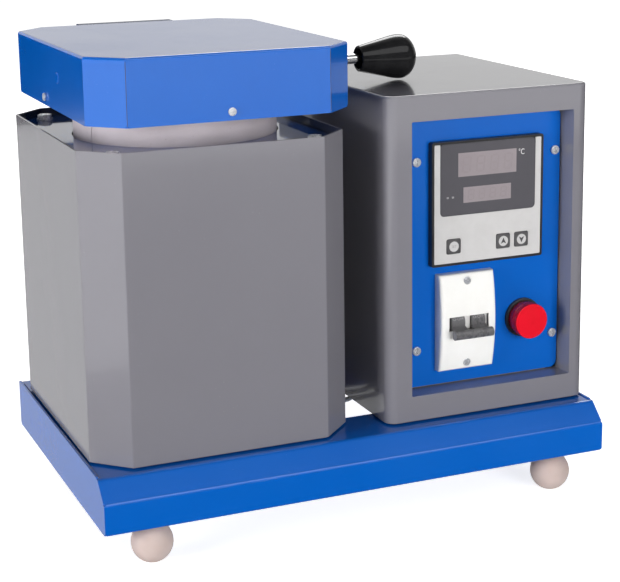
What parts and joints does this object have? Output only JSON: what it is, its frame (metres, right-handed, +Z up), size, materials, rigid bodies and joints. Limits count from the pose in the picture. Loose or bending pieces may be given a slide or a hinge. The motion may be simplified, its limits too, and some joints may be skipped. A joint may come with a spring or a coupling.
{
  "type": "electric melting furnace",
  "caption": "Electric crucible furnace: hinged lid with side knob over a round chamber, beside a control case with temperature controller, breaker and pilot lamp on a shared base.",
  "frame": {"origin": "on the floor, midway between the base's ends and midway between its front and the back of the hinge", "axes": "+Z up, the front with the controls faces -Y, the control case is on the +X side"},
  "size_m": [0.402, 0.295, 0.3587],
  "materials": {
    "blue_paint": "gloss",
    "grey_paint": "gloss",
    "blue_panel": "satin",
    "blue_gloss": "gloss",
    "dark_strip": "matte",
    "foot_rubber": "satin",
    "zinc_steel": "satin",
    "dark_steel": "satin",
    "bright_steel": "polished",
    "black_knob": "gloss",
    "cream_ceramic": "matte",
    "fibre_board": "matte",
    "graphite": "satin",
    "heater_wire": "satin",
    "brass": "satin",
    "lead_sleeve": "matte",
    "black_plastic": "satin",
    "white_overlay": "satin",
    "smoked_screen": "gloss",
    "grey_key": "satin",
    "green_board": "satin",
    "white_plastic": "gloss",
    "grey_plastic": "satin",
    "grey_toggle": "gloss",
    "red_lens": "gloss",
    "raw_aluminium": "satin"
  },
  "bodies": {
    "furnace": {"ball_feet": "foot_rubber", "base_end_left": "blue_paint", "base_end_right": "blue_paint", "base_tray": "blue_paint", "breaker_body": "grey_plastic", "breaker_bracket": "dark_steel", "breaker_plate": "white_plastic", "cable_gland": "brass", "case_gasket": "dark_strip", "case_screws": "zinc_steel", "coil_terminals": "brass", "collar_ring": "cream_ceramic", "control_case": "grey_paint", "controller_bezel": "black_plastic", "controller_board": "green_board", "controller_clamps": "black_plastic", "controller_face": "white_overlay", "controller_housing": "black_plastic", "controller_screen": "smoked_screen", "crucible": "graphite", "crucible_stand": "cream_ceramic", "deck_bolts": "zinc_steel", "deck_washers": "zinc_steel", "digit_module": "black_plastic", "foot_screws": "zinc_steel", "front_panel": "blue_panel", "furnace_shell": "grey_paint", "furnace_top_deck": "blue_gloss", "gland_nut": "brass", "heat_sink": "raw_aluminium", "heater_leads": "lead_sleeve", "heating_coil": "heater_wire", "hinge_clip": "bright_steel", "hinge_pin": "bright_steel", "hinge_post": "dark_steel", "housing_screws": "zinc_steel", "insulation_base": "fibre_board", "insulation_block": "fibre_board", "lamp_body": "black_plastic", "lamp_lens": "red_lens", "lamp_nut": "black_plastic", "lamp_rim": "black_plastic", "muffle": "cream_ceramic", "plate_screws": "zinc_steel", "post_screws": "zinc_steel", "rear_cover": "grey_paint", "relay": "black_plastic", "shell_gasket": "dark_strip", "terminal_block": "cream_ceramic", "thermocouple": "heater_wire"},
    "lid": {"lid_shell": "blue_paint", "lid_insulation": "fibre_board", "lid_screws": "zinc_steel", "handle_rod": "bright_steel", "handle_knob": "black_knob", "hinge_strap": "dark_steel"},
    "set_key": {"key_set": "grey_key"},
    "up_key": {"key_up": "grey_key"},
    "down_key": {"key_down": "grey_key"},
    "toggle": {"breaker_toggle": "grey_toggle"}
  },
  "joints": [
    {"name": "lid_hinge", "type": "hinge", "parent": "furnace", "child": "lid", "pos_m": [-0.0905, 0.1385, 0.329], "axis": [-1, 0, 0], "range_deg": [0, 100]},
    {"name": "set_press", "type": "slide", "parent": "furnace", "child": "set_key", "axis": [0, 1, 0], "range_m": [0, 0.0008], "stiffness_N_per_m": 600},
    {"name": "up_press", "type": "slide", "parent": "furnace", "child": "up_key", "axis": [0, 1, 0], "range_m": [0, 0.0008], "stiffness_N_per_m": 600},
    {"name": "down_press", "type": "slide", "parent": "furnace", "child": "down_key", "axis": [0, 1, 0], "range_m": [0, 0.0008], "stiffness_N_per_m": 600},
    {"name": "toggle_throw", "type": "hinge", "parent": "furnace", "child": "toggle", "pos_m": [0.1002, -0.1065, 0.1384], "axis": [-1, 0, 0], "range_deg": [0, 49.4]}
  ]
}
